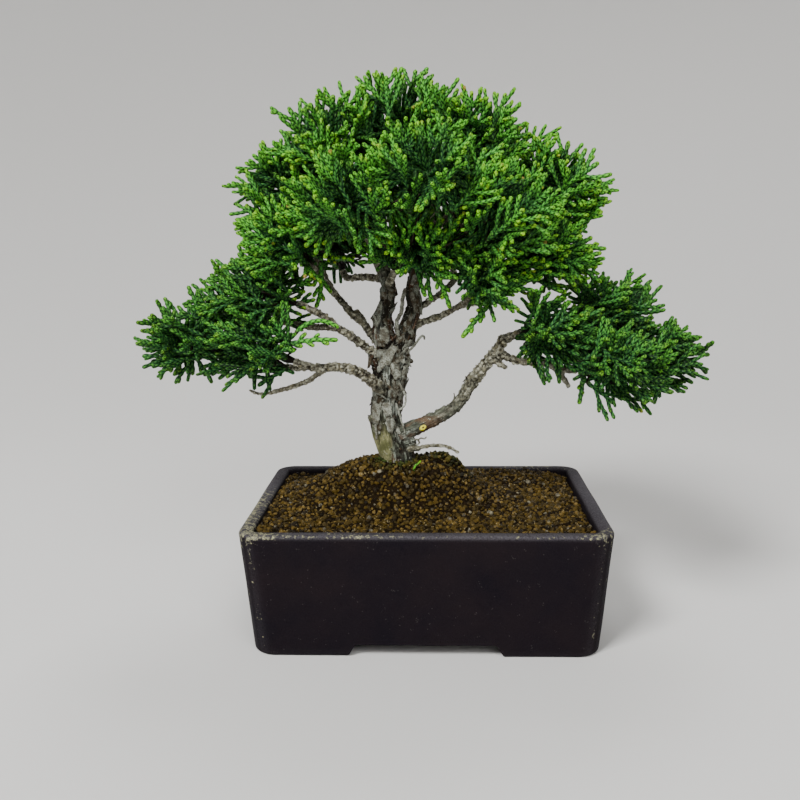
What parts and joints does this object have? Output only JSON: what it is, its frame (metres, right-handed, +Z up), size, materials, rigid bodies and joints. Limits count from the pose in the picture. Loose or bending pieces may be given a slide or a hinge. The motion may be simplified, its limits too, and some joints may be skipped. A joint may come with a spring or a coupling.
{
  "type": "kishu juniper bonsai",
  "caption": "Small kishu juniper bonsai with a forked trunk, a domed crown and two lower foliage pads, growing in a rectangular unglazed clay pot on corner feet.",
  "frame": {"origin": "on the surface that the pot stands on, under the middle of the pot", "axes": "+Z up, +X along the pot's long side to the right seen from the front, front towards -Y"},
  "size_m": [0.1364, 0.0702, 0.1355],
  "materials": {
    "clay": "matte unglazed dark purple-brown clay with pale lime deposits on the rim",
    "net": "dull black plastic",
    "soil_grains": "dry, rough, brown and ochre fired clay grains",
    "bark": "weathered grey-brown flaking bark",
    "leaves": "waxy green scale leaves with yellow-green tips"
  },
  "bodies": {
    "root": {"pot": "clay", "drain_net_left": "net", "drain_net_right": "net", "soil": "soil_grains", "trunk_and_branches": "bark", "foliage_crown_top": "leaves", "foliage_crown_top_left": "leaves", "foliage_crown_top_right": "leaves", "foliage_crown_left": "leaves", "foliage_crown_left_low": "leaves", "foliage_crown_front_left": "leaves", "foliage_crown_front": "leaves", "foliage_crown_front_right": "leaves", "foliage_crown_right": "leaves", "foliage_crown_right_low": "leaves", "foliage_crown_heart": "leaves", "foliage_crown_low_right": "leaves", "foliage_crown_back_left": "leaves", "foliage_crown_back": "leaves", "foliage_crown_back_right": "leaves", "foliage_crown_back_low": "leaves", "foliage_crown_back_low_left": "leaves", "foliage_left_shoulder": "leaves", "foliage_left_middle": "leaves", "foliage_left_tip": "leaves", "foliage_left_back": "leaves", "foliage_right_shoulder": "leaves", "foliage_right_tip": "leaves", "foliage_right_front": "leaves", "foliage_right_near": "leaves", "foliage_right_back": "leaves"}
  },
  "joints": []
}
